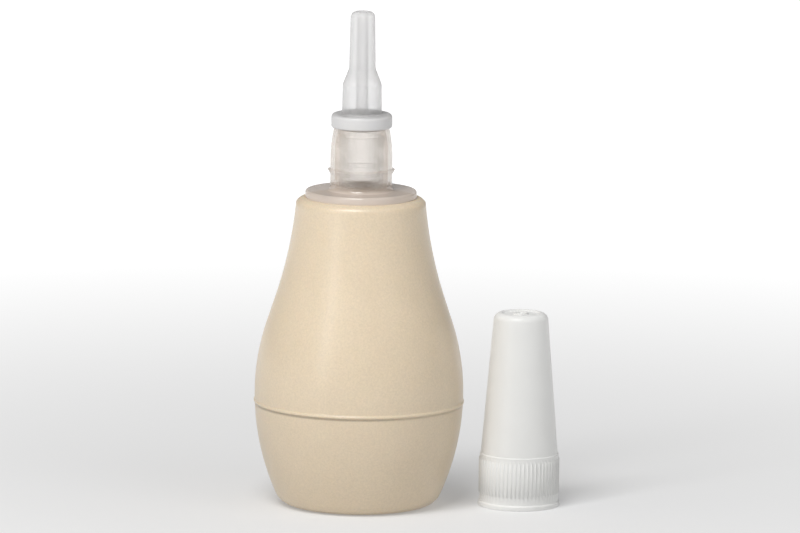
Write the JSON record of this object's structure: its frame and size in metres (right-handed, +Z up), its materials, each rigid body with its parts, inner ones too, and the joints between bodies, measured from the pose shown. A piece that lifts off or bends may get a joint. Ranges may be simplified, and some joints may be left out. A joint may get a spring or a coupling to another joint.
{
  "type": "nasal aspirator",
  "caption": "Baby nasal aspirator: soft pear-shaped squeeze bulb, clear collector with a flange and barrel, soft bored tip, and a loose ribbed conical cap standing beside it.",
  "frame": {"origin": "centre of the bulb's flat base, on the surface it stands on", "axes": "+Z up along the bulb's axis to the tip, +X towards the cap, -Y towards the viewer"},
  "size_m": [0.0736, 0.0504, 0.119],
  "materials": {
    "bulb_rubber": "satin",
    "clear_plastic": "clear, lightly frosted",
    "tip_silicone": "milky, satin",
    "cap_plastic": "frosted"
  },
  "bodies": {
    "bulb": {"squeeze_bulb": "bulb_rubber"},
    "press_zone": {"press_wall": "bulb_rubber"},
    "collector": {"collector": "clear_plastic", "inner_tube": "clear_plastic"},
    "tip": {"soft_tip": "tip_silicone"},
    "cap": {"protective_cap": "cap_plastic"}
  },
  "joints": [
    {"name": "bulb_squeeze", "type": "slide", "parent": "bulb", "child": "press_zone", "axis": [1, 0, 0], "range_m": [0, 0.012], "stiffness_N_per_m": 600},
    {"name": "collector_pull", "type": "slide", "parent": "bulb", "child": "collector", "axis": [0, 0, 1], "range_m": [0, 0.03]},
    {"name": "tip_pull", "type": "slide", "parent": "collector", "child": "tip", "axis": [0, 0, 1], "range_m": [0, 0.015]},
    {"name": "cap_lift", "type": "slide", "parent": "bulb", "child": "cap", "axis": [0, 0, 1], "range_m": [0, 0.06]}
  ]
}
